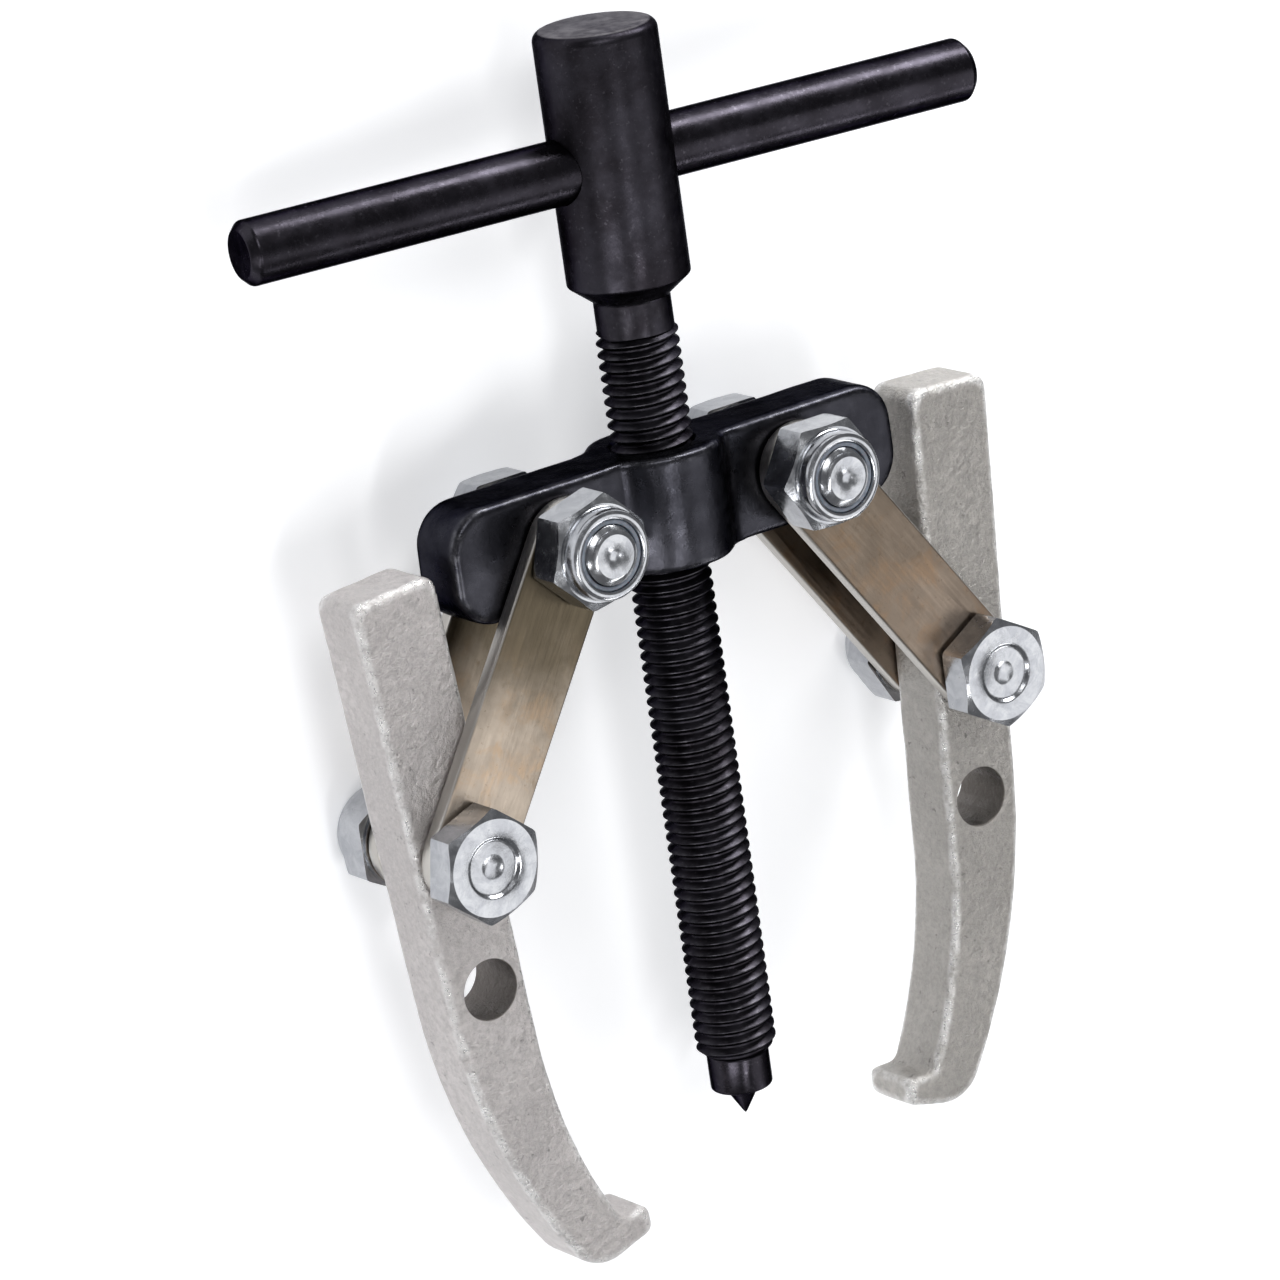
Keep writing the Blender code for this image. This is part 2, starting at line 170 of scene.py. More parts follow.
# Area lights: direction from the middle, distance, size and radiance.
LIGHT_TARGET = (0, 0, 0.02)
LIGHTS = {
    "front": ((0.53, -0.29, 0.80), 1.1, (0.75, 0.75), 1.5),
    "key": ((-0.25, 0.65, 0.72), 1.2, (0.5, 0.4), 5.4),
    "strip_top": ((0.53, 0.80, 0.20), 1.1, (0.7, 0.32), 15.0),
    "strip_low": ((0.53, -0.72, 0.45), 1.1, (0.6, 0.10), 8.0),
    "strip_over": ((-0.19, -0.29, 0.94), 1.1, (0.10, 0.5), 16.0),
    "strip_left": ((-0.80, -0.29, 0.53), 1.1, (0.14, 0.6), 11.0),
}
WORLD_COLOR = (0.96, 0.97, 1.0, 1.0)
WORLD_STRENGTH = 0.2
FLOOR_HALF = 3.0
FLOOR_DROP = 0.0004
FLOOR_GLOW = 0.36

# The camera, solved from the photo: angles in radians, and the focal length in photo pixels.
CAMERA_AZIMUTH = 0.586540834
CAMERA_LIFT = 0.298784130
CAMERA_ROLL = -0.141426020
CAMERA_DISTANCE = 1.02502222
CAMERA_TARGET = (-0.00795629, -0.08052162, 0)
CAMERA_SHIFT = (0.0002, 0.0025)
FOCAL_PIXELS = 6210.86014
PHOTO_PIXELS = 1280
SENSOR_WIDTH = 36.0
CAMERA_CLIP = (0.05, 20.0)


# ---------------------------------------------------------------- meshes

def finish_mesh(name, bm, matrix=None, sharp=30):
    """A new object from bm, placed in the CAD's frame; edges above the angle stay sharp."""
    if matrix is not None:
        bmesh.ops.transform(bm, matrix=matrix, verts=bm.verts)
    bmesh.ops.recalc_face_normals(bm, faces=bm.faces)
    mesh = bpy.data.meshes.new(name)
    bm.to_mesh(mesh)
    bm.free()
    obj = bpy.data.objects.new(name, mesh)
    bpy.context.scene.collection.objects.link(obj)
    shade(obj, sharp)
    return obj


def shade(obj, sharp=30):
    obj.data.shade_smooth()
    obj.data.set_sharp_from_angle(angle=math.radians(sharp))


def heal(obj):
    """Merges points that a boolean left on top of each other."""
    bm = bmesh.new()
    bm.from_mesh(obj.data)
    bmesh.ops.remove_doubles(bm, verts=bm.verts, dist=MERGE_WITHIN)
    bmesh.ops.dissolve_degenerate(bm, edges=bm.edges, dist=SHORTEST_EDGE)
    bm.to_mesh(obj.data)
    bm.free()


def apply_modifiers(obj):
    """Keeps what the modifiers make of the object, and drops them."""
    graph = bpy.context.evaluated_depsgraph_get()
    mesh = bpy.data.meshes.new_from_object(obj.evaluated_get(graph))
    old = obj.data
    obj.modifiers.clear()
    obj.data = mesh
    bpy.data.meshes.remove(old)


def combine(obj, tool, operation):
    """A boolean, applied at once; the tool is used up."""
    step = obj.modifiers.new("boolean", "BOOLEAN")
    step.operation = operation
    step.solver = "EXACT"
    step.object = tool
    bpy.context.view_layer.update()
    apply_modifiers(obj)
    bpy.data.objects.remove(tool, do_unlink=True)


def modify(obj, kind, **settings):
    """Any other modifier, applied at once."""
    step = obj.modifiers.new("step", kind)
    for name, value in settings.items():
        setattr(step, name, value)
    bpy.context.view_layer.update()
    apply_modifiers(obj)


def bevel(obj, width, segments):
    modify(obj, "BEVEL", width=width, segments=segments, angle_limit=BEVEL_FROM,
           limit_method="ANGLE")


def skin_rings(rings, through=False):
    """A closed body from rings of equal count: capped at both ends, or joined end to start."""
    bm = bmesh.new()
    loops = [[bm.verts.new(point) for point in points] for points in rings]
    pairs = list(zip(loops, loops[1:]))
    if through:
        pairs.append((loops[-1], loops[0]))
    for lower, upper in pairs:
        count = len(lower)
        for index in range(count):
            after = (index + 1) % count
            bm.faces.new((lower[index], lower[after], upper[after], upper[index]))
    if not through:
        bm.faces.new(loops[0])
        bm.faces.new(loops[-1])
    return bm


def ring(radius, height, sides):
    """Points of a circle; radius may be a function of the angle, and height of the radius."""
    points = []
    for index in range(sides):
        angle = 2 * math.pi * index / sides
        reach = radius(angle) if callable(radius) else radius
        level = height(reach) if callable(height) else height
        points.append(Vector((reach * math.cos(angle), reach * math.sin(angle), level)))
    return points


def rounded(corners, steps=6):
    """A polyline whose (x, y, radius) corners are rounded off, apart from its two ends."""
    points = []
    count = len(corners)
    for index, (x, y, radius) in enumerate(corners):
        here = Vector((x, y))
        if radius == 0 or index in (0, count - 1):
            points.append(here)
            continue
        back = (Vector(corners[index - 1][:2]) - here).normalized()
        ahead = (Vector(corners[index + 1][:2]) - here).normalized()
        half = back.angle(ahead) / 2
        run = radius / math.tan(half)
        centre = here + (back + ahead).normalized() * (radius / math.sin(half))
        first, last = here + back * run - centre, here + ahead * run - centre
        sweep = first.angle_signed(last)
        for step in range(steps + 1):
            turn = Matrix.Rotation(-sweep * step / steps, 2)
            points.append(centre + turn @ first)
    return points


def turned(profile, sides):
    """A body turned about Z from (radius, height) points, whose two ends lie on the axis."""
    rings = [ring(x, y, sides) for x, y in profile if x > 0]
    ends = [y for x, y in profile if x == 0]
    bm = skin_rings(rings)
    for cap in [face for face in bm.faces if len(face.verts) > 4]:
        middle = cap.calc_center_median()
        centre = bmesh.ops.poke(bm, faces=[cap])["verts"][0]
        centre.co.z = min(ends, key=lambda y: abs(y - middle.z))
    return bm


def prism(outline, low, high):
    """A closed outline raised along Z."""
    bm = bmesh.new()
    face = bm.faces.new([bm.verts.new((x, y, low)) for x, y in outline])
    grown = bmesh.ops.extrude_face_region(bm, geom=[face])
    raised = [item for item in grown["geom"] if isinstance(item, bmesh.types.BMVert)]
    bmesh.ops.translate(bm, verts=raised, vec=(0, 0, high - low))
    return bm


def arc(centre, radius, start, end, step=math.radians(4)):
    """Points along an arc from start to end, about a step apart."""
    count = max(3, round(abs(end - start) / step))
    return [(centre[0] + radius * math.cos(start + (end - start) * index / count),
             centre[1] + radius * math.sin(start + (end - start) * index / count))
            for index in range(count + 1)]


def threaded_rod(major, pitch, top, bottom, sides=72):
    """A right-hand ISO thread on a rod along Z, a little longer than top to bottom."""
    depth = 0.541 * pitch
    minor = major - depth
    soft = 0.035 * pitch
    profile = [(0.0, minor + soft), (0.06, minor), (0.19, minor), (0.25, minor + soft),
               (0.55, major - soft), (0.585, major), (0.665, major), (0.70, major - soft)]
    per_turn = len(profile)
    turns = math.ceil((top - bottom) / pitch) + 3
    rows = turns * per_turn + 1
    start = top + 1.2 * pitch
    bm = bmesh.new()
    grid = []
    for row in range(rows):
        share, radius = profile[row % per_turn]
        level = start - pitch * (row // per_turn + share)
        line = []
        for index in range(sides):
            angle = 2 * math.pi * index / sides
            line.append(bm.verts.new((radius * math.cos(angle), radius * math.sin(angle),
                                      level + pitch * index / sides)))
        grid.append(line)
    last = sides - 1
    for row in range(rows - 1):
        for index in range(last):
            bm.faces.new((grid[row][index], grid[row][index + 1],
                          grid[row + 1][index + 1], grid[row + 1][index]))
        if row >= per_turn:
            bm.faces.new((grid[row][last], grid[row - per_turn][0],
                          grid[row + 1 - per_turn][0], grid[row + 1][last]))
    upper = grid[0][:] + [grid[row][last] for row in range(1, per_turn + 1)]
    lower = grid[-1][:] + [grid[row][0] for row in range(rows - 1 - per_turn, rows - 1)]
    for loop in (upper, lower):
        middle = sum((vert.co.z for vert in loop)) / len(loop)
        hub = bm.verts.new((0, 0, middle))
        for index, vert in enumerate(loop):
            bm.faces.new((hub, vert, loop[(index + 1) % len(loop)]))
    return bm


def smooth_forging(obj, passes):
    """Rounds a body off all over, as a forging is."""
    modify(obj, "REMESH", mode="VOXEL", voxel_size=FORGING_VOXEL, use_smooth_shade=True)
    modify(obj, "SMOOTH", factor=0.5, iterations=passes)


def roughen(obj, scale, height, seed):
    """Moves the surface in and out a little, by noise; never further out than it was."""
    mesh = obj.data
    shift = Vector((seed, seed * 0.7, seed * 1.3))
    for vert, normal in zip(mesh.vertices, [v.normal.copy() for v in mesh.vertices]):
        wave = noise.noise(vert.co * scale + shift)
        wave += 0.5 * noise.noise(vert.co * scale * 2.7 + shift)
        vert.co += normal * height * min(0.0, wave * 0.6 - 0.35)


def edge_wear(obj):
    """Stores how far each point stands out from its surroundings, as the attribute edge_wear."""
    mesh = obj.data
    count = len(mesh.vertices)
    spots = np.zeros(count * 3)
    mesh.vertices.foreach_get("co", spots)
    spots = spots.reshape(-1, 3)
    normals = np.zeros(count * 3)
    mesh.vertex_normals.foreach_get("vector", normals)
    normals = normals.reshape(-1, 3)
    pairs = np.zeros(len(mesh.edges) * 2, int)
    mesh.edges.foreach_get("vertices", pairs)
    pairs = pairs.reshape(-1, 2)
    degree = np.bincount(pairs.ravel(), minlength=count)[:, None].clip(1)

    def around(values):
        total = np.zeros_like(values)
        np.add.at(total, pairs[:, 0], values[pairs[:, 1]])
        np.add.at(total, pairs[:, 1], values[pairs[:, 0]])
        return total / degree

    centre = spots
    for _ in range(WEAR_LOOKS):
        centre = around(centre)
    out = ((spots - centre) * normals).sum(1, keepdims=True)
    for _ in range(WEAR_SOFTENS):
        out = around(out)
    layer = mesh.attributes.new("edge_wear", "FLOAT", "POINT")
    layer.data.foreach_set("value", (out[:, 0] / MM).astype(np.float32))


# ---------------------------------------------------------------- materials

class Shader:
    """A node material under construction: a Principled shader and short ways to feed it."""

    def __init__(self, name, **sockets):
        self.material = bpy.data.materials.new(name)
        self.material.use_nodes = True
        self.tree = self.material.node_tree
        self.main = self.tree.nodes["Principled BSDF"]
        for socket, value in sockets.items():
            self.main.inputs[socket.replace("_", " ")].default_value = value

    def node(self, kind, **settings):
        made = self.tree.nodes.new(kind)
        for name, value in settings.items():
            setattr(made, name, value)
        return made

    def link(self, source, target):
        self.tree.links.new(source, target)

    def place(self, stretch=(1, 1, 1), turn=0.0):
        """Object coordinates in metres, turned about Z and then stretched."""
        coords = self.node("ShaderNodeTexCoord").outputs["Object"]
        spin = self.node("ShaderNodeMapping", vector_type="POINT")
        spin.inputs["Rotation"].default_value = (0, 0, turn)
        size = self.node("ShaderNodeMapping", vector_type="POINT")
        size.inputs["Scale"].default_value = stretch
        self.link(coords, spin.inputs["Vector"])
        self.link(spin.outputs["Vector"], size.inputs["Vector"])
        return size.outputs["Vector"]

    def noise(self, scale, detail=4.0, rough=0.6, where=None, distortion=0.0):
        made = self.node("ShaderNodeTexNoise")
        made.inputs["Scale"].default_value = scale
        made.inputs["Detail"].default_value = detail
        made.inputs["Roughness"].default_value = rough
        made.inputs["Distortion"].default_value = distortion
        self.link(where or self.place(), made.inputs["Vector"])
        return made.outputs["Fac"]

    def spread(self, value, low, high, to_low=0.0, to_high=1.0):
        """Eases value from one range into another, and holds it there outside."""
        made = self.node("ShaderNodeMapRange", interpolation_type="SMOOTHSTEP")
        for socket, number in (("From Min", low), ("From Max", high),
                               ("To Min", to_low), ("To Max", to_high)):
            made.inputs[socket].default_value = number
        self.link(value, made.inputs["Value"])
        return made.outputs["Result"]

    def math(self, operation, first, second):
        made = self.node("ShaderNodeMath", operation=operation)
        for socket, value in zip(made.inputs, (first, second)):
            if isinstance(value, (int, float)):
                socket.default_value = value
            else:
                self.link(value, socket)
        return made.outputs["Value"]

    def mix(self, share, first, second):
        """A colour from first to second; each is a tuple or another node's output."""
        made = self.node("ShaderNodeMix", data_type="RGBA")
        self.link(share, made.inputs["Factor"])
        colors = [socket for socket in made.inputs if socket.type == "RGBA"]
        for socket, value in zip(colors, (first, second)):
            if isinstance(value, tuple):
                socket.default_value = (*value, 1.0)
            else:
                self.link(value, socket)
        return next(socket for socket in made.outputs if socket.type == "RGBA")

    def attribute(self, name):
        return self.node("ShaderNodeAttribute", attribute_name=name).outputs["Fac"]

    def bump(self, height, strength, distance, below=None):
        made = self.node("ShaderNodeBump")
        made.inputs["Strength"].default_value = strength
        made.inputs["Distance"].default_value = distance
        self.link(height, made.inputs["Height"])
        if below is not None:
            self.link(below, made.inputs["Normal"])
        return made.outputs["Normal"]

    def distance(self, point, weights):
        """How far the surface is from a point, along the axes that weights keep."""
        away = self.node("ShaderNodeVectorMath", operation="SUBTRACT")
        away.inputs[1].default_value = point
        self.link(self.place(), away.inputs[0])
        flat = self.node("ShaderNodeVectorMath", operation="MULTIPLY")
        flat.inputs[1].default_value = weights
        self.link(away.outputs["Vector"], flat.inputs[0])
        reach = self.node("ShaderNodeVectorMath", operation="LENGTH")
        self.link(flat.outputs["Vector"], reach.inputs[0])
        return reach.outputs["Value"]

    def axis(self, vector, name):
        made = self.node("ShaderNodeSeparateXYZ")
        self.link(vector, made.inputs["Vector"])
        return made.outputs[name]

    def set(self, socket, value):
        self.link(value, self.main.inputs[socket])


def shades(tint, *factors):
    """The tint times one factor, or times one for each of its three channels."""
    return tuple(x * f for x, f in zip(tint, factors * (3 // len(factors))))


def black_finish(name, roughness):
    """What the turned black pieces share: oily, finely pitted metal. Returns its patches too."""
    s = Shader(name, Metallic=1.0, Specular_Tint=DARK_EDGE_TINT)
    s.set("Roughness", s.spread(s.noise(260, 6, 0.7), 0.3, 0.72, *roughness))
    fine = s.bump(s.noise(2600, 4, 0.65), 0.18, 0.00006)
    s.set("Normal", s.bump(s.noise(420, 3, 0.55), 0.22, 0.00014, fine))
    return s, s.spread(s.noise(90, 5, 0.65), 0.35, 0.7)


def black_oxide():
    """Oiled black oxide on turned steel: violet black, greyer in patches, with small flecks."""
    s, patch = black_finish("black_oxide", (0.22, 0.36))
    fleck = s.spread(s.noise(1400, 3, 0.6), 0.56, 0.78)
    color = s.mix(patch, (0.024, 0.022, 0.027), (0.040, 0.037, 0.046))
    s.set("Base Color", s.mix(fleck, color, (0.062, 0.058, 0.069)))
    return s.material


def black_thread():
    """The same oxide on the screw: lighter on the thread's crests, grey on the head's end."""
    s, patch = black_finish("black_oxide_thread", (0.30, 0.48))
    reach = s.distance(HANDLE, (1.0, 0.0, 1.0))
    crest = s.spread(reach, 6.2 * MM, 6.85 * MM)
    head = s.spread(reach, 7.0 * MM, 8.0 * MM)
    rubbed = s.math("MULTIPLY", s.math("SUBTRACT", crest, head),
                    s.spread(s.noise(700, 4, 0.6), 0.3, 0.75))
    fleck = s.spread(s.noise(1400, 3, 0.6), 0.58, 0.76)
    color = s.mix(patch, (0.020, 0.018, 0.022), (0.036, 0.034, 0.042))
    color = s.mix(fleck, color, (0.054, 0.051, 0.060))
    color = s.mix(rubbed, color, (0.060, 0.058, 0.066))
    head_end = HANDLE.y + HEAD_TOP
    top = s.spread(s.axis(s.place(), "Y"), head_end - 0.25 * MM, head_end - 0.02 * MM)
    top = s.math("MULTIPLY", top, s.spread(s.noise(380, 5, 0.7), 0.25, 0.7, 0.45, 1.0))
    s.set("Base Color", s.mix(top, color, (0.30, 0.29, 0.30)))
    return s.material


def black_forging():
    """Thick black finish over a forged bar: softly rippled, satin, greyer where it is rubbed."""
    s = Shader("black_forging", Metallic=1.0, Specular_Tint=DARK_EDGE_TINT)
    patch = s.spread(s.noise(70, 5, 0.6), 0.35, 0.7)
    worn = s.math("MULTIPLY", s.spread(s.attribute("edge_wear"), 0.045, 0.09),
                  s.spread(s.noise(500, 5, 0.7), 0.42, 0.66))
    color = s.mix(patch, (0.028, 0.028, 0.034), (0.052, 0.052, 0.062))
    s.set("Base Color", s.mix(worn, color, (0.085, 0.085, 0.095)))
    s.set("Roughness", s.spread(s.noise(300, 6, 0.7), 0.3, 0.72, 0.24, 0.40))
    fine = s.bump(s.noise(1500, 5, 0.65), 0.3, 0.00012)
    s.set("Normal", s.bump(s.noise(260, 4, 0.55), 0.35, 0.0003, fine))
    return s.material


def nickel_forging(name, tint, holes):
    """Satin nickel over a blasted forging: warm grey, pitted, bright edges, with painted shade on
    the walls of its holes.
    """
    s = Shader(name, Metallic=1.0)
    grain = s.noise(1500, 5, 0.7)
    mottle = s.noise(650, 4, 0.65)
    cloud = s.spread(s.noise(60, 5, 0.6), 0.32, 0.7)
    pits = s.spread(s.noise(420, 5, 0.75), 0.60, 0.70)
    bright = s.math("MULTIPLY", s.spread(s.attribute("edge_wear"), 0.035, 0.085, 0.0, 0.85),
                    s.spread(s.noise(300, 5, 0.7), 0.3, 0.62))
    color = s.mix(cloud, shades(tint, 0.80), shades(tint, 1.12))
    color = s.mix(s.spread(mottle, 0.36, 0.64, 0.0, 0.75), shades(tint, 0.78), color)
    color = s.mix(s.spread(grain, 0.38, 0.68, 0.0, 0.5), color, shades(tint, 1.22))
    color = s.mix(pits, color, shades(tint, 0.45))
    color = s.mix(bright, color, (0.80, 0.79, 0.78))
    # Painted shade: the walls of each hole are darkened to a dark brown, standing in for the shade
    # inside the bore.
    for hole in holes:
        reach = s.distance(hole, (1.0, 1.0, 0.0))
        painted_hole_shade = s.spread(reach, HOLE_R + 0.02 * MM, HOLE_R + 0.25 * MM, 0.85, 0.0)
        color = s.mix(painted_hole_shade, color, (0.115, 0.100, 0.088))
    s.set("Base Color", color)
    rough = s.spread(grain, 0.25, 0.75, 0.28, 0.50)
    s.set("Roughness", s.math("SUBTRACT", rough, s.math("MULTIPLY", bright, 0.12)))
    coarse = s.bump(s.noise(460, 5, 0.72), 0.9, 0.0008)
    s.set("Normal", s.bump(grain, 0.7, 0.0003, coarse))
    return s.material


def strap_plate(name, turn, tint, hinge, oiled):
    """Plated strip, rolled along its length: brownish yellow faces with fine lines, bright edges.

    It is darker with old oil towards hinge, where it goes under the crosshead's nut.
    """
    s = Shader(name, Metallic=1.0, Anisotropic=0.35)
    along = s.place((1.0, 0.045, 1.0), turn)
    lines = s.noise(2600, 4, 0.6, along)
    cloud = s.spread(s.noise(75, 5, 0.6), 0.3, 0.72)
    stain = s.spread(s.noise(190, 5, 0.7, None, 0.6), 0.56, 0.72)
    facing_up = s.axis(s.node("ShaderNodeTexCoord").outputs["Normal"], "Z")
    side = s.spread(s.math("ABSOLUTE", facing_up, 0.0), 0.55, 0.97, 1.0, 0.0)
    color = s.mix(cloud, shades(tint, 0.80), shades(tint, 1.20))
    color = s.mix(stain, color, shades(tint, 0.62, 0.56, 0.48))
    amber = s.spread(s.noise(125, 5, 0.65, None, 0.4), 0.48, 0.66, 0.0, 0.7)
    color = s.mix(amber, color, shades(tint, 1.12, 0.90, 0.68))
    fleck = s.spread(s.noise(900, 4, 0.7), 0.60, 0.70, 0.0, 0.6)
    color = s.mix(fleck, color, shades(tint, 0.50, 0.46, 0.40))
    color = s.mix(s.spread(lines, 0.35, 0.65, 0.0, 0.35), color, shades(tint, 1.25))
    away = s.distance(hinge, (1.0, 1.0, 1.0))
    reach = s.math("ADD", away, s.math("MULTIPLY", cloud, 6 * MM))
    oil = s.spread(reach, 18 * MM, 46 * MM, oiled, 0.0)
    color = s.mix(oil, color, shades(tint, 0.24, 0.23, 0.19))
    s.set("Base Color", s.mix(side, color, (0.50, 0.48, 0.45)))
    s.set("Roughness", s.spread(lines, 0.3, 0.7, 0.30, 0.46))
    ripple = s.bump(s.noise(160, 3, 0.5), 0.25, 0.0003)
    s.set("Normal", s.bump(lines, 0.22, 0.00008, ripple))
    return s.material


def bright_zinc():
    """Bright zinc plate: clear, slightly bluish, with faint swirls and tiny pits."""
    s = Shader("bright_zinc", Metallic=1.0)
    cloud = s.spread(s.noise(300, 5, 0.6, None, 0.8), 0.32, 0.7)
    pits = s.spread(s.noise(1900, 4, 0.7), 0.62, 0.74)
    color = s.mix(cloud, (0.36, 0.37, 0.395), (0.47, 0.48, 0.50))
    s.set("Base Color", s.mix(pits, color, (0.33, 0.34, 0.36)))
    s.set("Roughness", s.spread(s.noise(700, 5, 0.65), 0.3, 0.7, 0.14, 0.28))
    fine = s.bump(s.noise(2300, 3, 0.6), 0.15, 0.00005)
    s.set("Normal", s.bump(s.noise(330, 4, 0.55), 0.2, 0.00012, fine))
    return s.material


def nylon():
    """Nylon ring of a lock nut: bluish grey, matt, a little translucent."""
    s = Shader("nylon", Metallic=0.0, Subsurface_Weight=0.15, Subsurface_Scale=0.001)
    cloud = s.spread(s.noise(900, 4, 0.6), 0.35, 0.65)
    s.set("Base Color", s.mix(cloud, (0.13, 0.15, 0.185), (0.20, 0.225, 0.27)))
    s.set("Roughness", s.spread(s.noise(1500, 4, 0.6), 0.3, 0.7, 0.42, 0.6))
    s.set("Normal", s.bump(s.noise(1800, 3, 0.6), 0.2, 0.00008))
    return s.material


# ---------------------------------------------------------------- frames of reference

def along_screw():
    """Local +Z runs up the screw, with its origin where the handle crosses."""
    return Matrix.Translation(HANDLE) @ Matrix.Rotation(math.radians(-90), 4, "X")


def along_handle():
    """Local +Z runs along the handle bar, with its origin in the middle."""
    return (Matrix.Translation(HANDLE) @ Matrix.Rotation(-HANDLE_TURN, 4, "Y")
            @ Matrix.Rotation(math.radians(90), 4, "Y"))


def add_piece(obj, body, slot, material, *nodes):
    """Gives a finished piece its material and its body, in place of its CAD nodes."""
    obj.data.materials.clear()
    obj.data.materials.append(material)
    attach(obj, body)
    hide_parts(*nodes)


# ---------------------------------------------------------------- screw, handle and tip

def make_screw(material):
    head = rounded([
        (0, HEAD_TOP, 0), (HEAD_R, HEAD_TOP, HEAD_TOP_ROUND),
        (HEAD_R, HEAD_BOTTOM, HEAD_BOTTOM_ROUND), (NECK_R, TAPER_BOTTOM, NECK_ROUND),
        (NECK_R, THREAD_TOP - 0.5 * MM, 0), (0, THREAD_TOP - 0.5 * MM, 0)])
    screw = finish_mesh("forcing_screw_threaded", turned(head, 120), along_screw())
    hole_r = HANDLE_R + HANDLE_HOLE_GAP
    hole = [(0, -2 * HEAD_R), (hole_r, -2 * HEAD_R), (hole_r, 2 * HEAD_R), (0, 2 * HEAD_R)]
    combine(screw, finish_mesh("hole", turned(hole, 72), along_handle()), "DIFFERENCE")

    rod = finish_mesh("rod", threaded_rod(THREAD_R, SCREW_PITCH, THREAD_TOP, THREAD_END),
                      along_screw())
    outside = THREAD_R + 0.4 * MM
    stem_hole, stem_hole_end = STEM_R + 0.1 * MM, STEM_TOP + 0.3 * MM
    blank = [(0, THREAD_TOP), (NECK_R - 0.3 * MM, THREAD_TOP), (outside, THREAD_TOP - 0.7 * MM),
             (outside, THREAD_END + THREAD_CHAMFER + 0.4 * MM),
             (THREAD_R - THREAD_CHAMFER, THREAD_END), (stem_hole, THREAD_END),
             (stem_hole, stem_hole_end), (0, stem_hole_end)]
    combine(rod, finish_mesh("blank", turned(blank, 72), along_screw()), "INTERSECT")
    combine(screw, rod, "UNION")
    heal(screw)
    shade(screw, 28)
    add_piece(screw, "screw", "black_oxide", material, "forcing_screw")


def make_handle(material):
    face_r, body_end = HANDLE_R - HANDLE_EDGE, HANDLE_HALF - HANDLE_EDGE
    profile = rounded([
        (0, -HANDLE_HALF, 0), (face_r, -HANDLE_HALF, 0.5 * MM), (HANDLE_R, -body_end, 0.9 * MM),
        (HANDLE_R, body_end, 0.9 * MM), (face_r, HANDLE_HALF, 0.5 * MM), (0, HANDLE_HALF, 0)])
    handle = finish_mesh("tee_handle_bar", turned(profile, 96), along_handle(), 40)
    add_piece(handle, "screw", "black_oxide", material, "tee_handle")


def make_tip(material):
    profile = rounded([
        (0, STEM_TOP, 0), (STEM_R, STEM_TOP, 0.3 * MM), (STEM_R, TIP_TOP, 0),
        (TIP_R, TIP_TOP, 0.45 * MM), (TIP_R, TIP_BOTTOM, 0.5 * MM),
        (POINT_R + 0.2 * MM, TIP_BOTTOM, 0.3 * MM), (0.35 * MM, POINT_END + 0.4 * MM, 0.3 * MM),
        (0, POINT_END, 0)], 4)
    tip = finish_mesh("swivel_tip_point", turned(profile, 72), along_screw())
    add_piece(tip, "tip", "black_oxide", material, "swivel_tip")


# ---------------------------------------------------------------- crosshead

def bar_outline():
    """Outline of the crosshead's bar from its middle: a rectangle with round corners."""
    half_height = BAR_HEIGHT / 2
    points = []
    for index, (side_x, side_y) in enumerate(((1, 1), (-1, 1), (-1, -1), (1, -1))):
        centre = (side_x * (BAR_HALF - BAR_CORNER), side_y * (half_height - BAR_CORNER))
        points += arc(centre, BAR_CORNER, index * RIGHT_ANGLE, (index + 1) * RIGHT_ANGLE)
    return points


def boss_outline():
    """Section of the boss square to the screw: a round with fillets down to the bar's faces."""
    level = BAR_THICK / 2 - 0.1 * MM
    fillet_y = level + BOSS_FILLET
    fillet_x = math.sqrt((BOSS_R + BOSS_FILLET) ** 2 - fillet_y ** 2)
    meet = math.atan2(fillet_y, fillet_x)
    end_x = fillet_x + 1 * MM
    upper = [(end_x, level)]
    upper += arc((fillet_x, fillet_y), BOSS_FILLET, 1.5 * math.pi, math.pi + meet)
    upper += arc((0, 0), BOSS_R, meet, math.pi - meet)[1:]
    upper += arc((-fillet_x, fillet_y), BOSS_FILLET, -meet, -0.5 * math.pi)[1:]
    upper += [(-end_x, level)]
    return upper + [(-x, -y) for x, y in upper]


def drill(obj, place, radius, half_length, flare=0.4 * MM):
    """A hole along the place's Z; a chamfer breaks its mouths, half_length from the middle."""
    far = half_length + 2 * MM
    mouth = radius + flare + 2 * MM
    profile = [(0, -far), (mouth, -far), (radius, -half_length + flare),
               (radius, half_length - flare), (mouth, far), (0, far)]
    combine(obj, finish_mesh("drill", turned(profile, 72), place), "DIFFERENCE")


def make_crosshead(material):
    half_height = BAR_HEIGHT / 2
    centre = HANDLE + Vector((0, (BAR_TOP + BAR_BOTTOM) / 2, 0))
    place = Matrix.Translation(centre)
    upright = place @ Matrix.Rotation(math.radians(-90), 4, "X")
    crosshead = finish_mesh("crosshead_forging",
                            prism(bar_outline(), -BAR_THICK / 2, BAR_THICK / 2), place)
    boss = finish_mesh("boss", prism(boss_outline(), -half_height, half_height), upright)
    bevel(crosshead, BAR_EDGE, 4)
    bevel(boss, BOSS_EDGE, 3)
    combine(crosshead, boss, "UNION")
    smooth_forging(crosshead, 5)
    roughen(crosshead, 110, 0.16 * MM, 3.1)
    edge_wear(crosshead)
    drill(crosshead, upright, BORE_R, half_height, 0.5 * MM)
    for pivot in STRAP_PIVOT.values():
        drill(crosshead, Matrix.Translation(pivot), HOLE_R, BAR_THICK / 2)
    shade(crosshead, 35)
    add_piece(crosshead, "crosshead", "black_forging", material, "crosshead")


# ---------------------------------------------------------------- straps and jaws

def strap_turn(side):
    """The angle about Z from straight down to the line between the strap's holes."""
    run = JAW_PIVOT[side] - STRAP_PIVOT[side]
    return math.atan2(run.x, -run.y)


